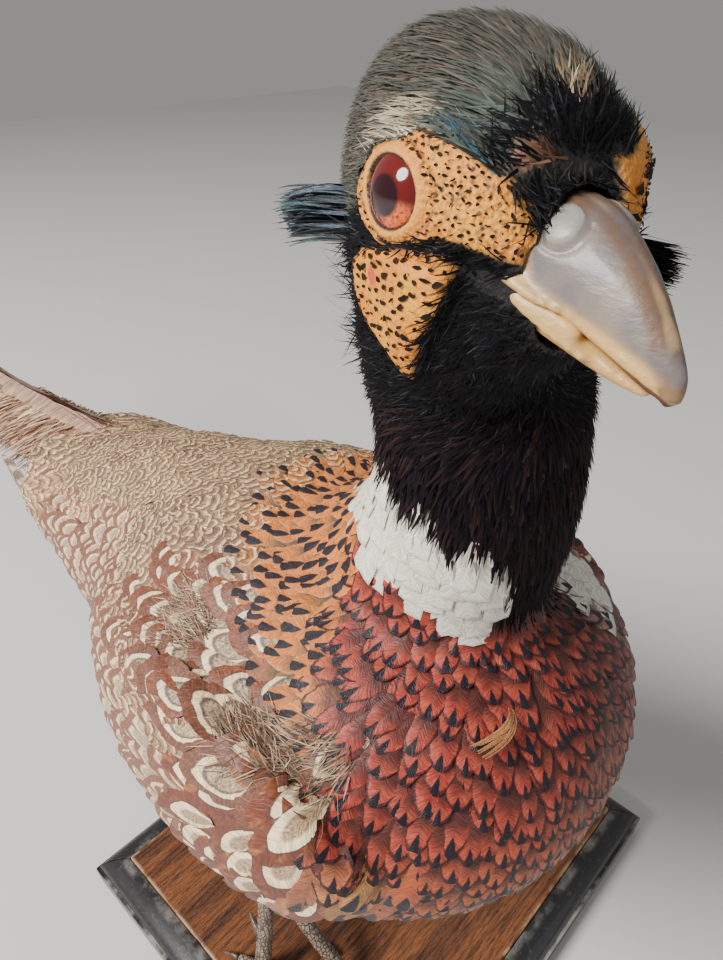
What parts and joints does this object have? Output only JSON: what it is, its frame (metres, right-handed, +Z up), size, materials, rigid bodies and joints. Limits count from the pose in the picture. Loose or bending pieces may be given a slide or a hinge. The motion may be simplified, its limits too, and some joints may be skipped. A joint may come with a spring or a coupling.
{
  "type": "taxidermy pheasant",
  "caption": "Stuffed cock ring-necked pheasant standing with its head turned to its right, on a rectangular wooden base with moulded rails.",
  "frame": {"origin": "middle of the underside of the wooden base", "axes": "+Z up; the bird faces -Y, its tail runs towards +Y and its left side is +X"},
  "size_m": [0.2436, 0.6876, 0.4058],
  "materials": {
    "walnut": "satin varnish over walnut grain, worn pale along its edge",
    "black_lacquer": "black lacquered moulding, rubbed grey on its ridges",
    "plumage_head": "short hair-like feathers, with bare warty skin round the eyes",
    "plumage_neck": "black feathers with a dull purple gloss and a white ring",
    "plumage_body": "copper-red feathers with dark tips, golden mantle, olive-grey rump",
    "plumage_wing": "mottled tan, cream and chestnut coverts",
    "plumage_flight": "smooth brown vanes barred with buff",
    "plumage_tail": "long buff vanes barred with dark brown, fringed with pinkish buff",
    "leg_scale": "dry grey-brown scales",
    "claw_horn": "dark horn",
    "bill_horn": "pale yellow horn with a bluish-grey sheen",
    "eye_glass": "clear glass over a red-brown iris"
  },
  "bodies": {
    "root": {"base_board": "walnut", "base_rail_front": "black_lacquer", "base_rail_left": "black_lacquer", "base_rail_back": "black_lacquer", "base_rail_right": "black_lacquer", "head": "plumage_head", "bill_upper": "bill_horn", "bill_lower": "bill_horn", "eye_left": "eye_glass", "eye_right": "eye_glass", "ear_tuft_left": "plumage_neck", "ear_tuft_right": "plumage_neck", "neck": "plumage_neck", "trunk": "plumage_body", "wing_left": "plumage_wing", "wing_right": "plumage_wing", "quills_left": "plumage_flight", "quills_right": "plumage_flight", "tail_centre_left": "plumage_tail", "tail_centre_right": "plumage_tail", "tail_side_left": "plumage_tail", "tail_side_right": "plumage_tail", "tail_outer_left": "plumage_tail", "tail_outer_right": "plumage_tail", "thigh_left": "plumage_body", "thigh_right": "plumage_body", "shank_left": "leg_scale", "shank_right": "leg_scale", "foot_left": "leg_scale", "foot_right": "leg_scale", "spur_left": "claw_horn", "spur_right": "claw_horn", "claw_inner_left": "claw_horn", "claw_middle_left": "claw_horn", "claw_outer_left": "claw_horn", "claw_hind_left": "claw_horn", "claw_inner_right": "claw_horn", "claw_middle_right": "claw_horn", "claw_outer_right": "claw_horn", "claw_hind_right": "claw_horn"}
  },
  "joints": []
}
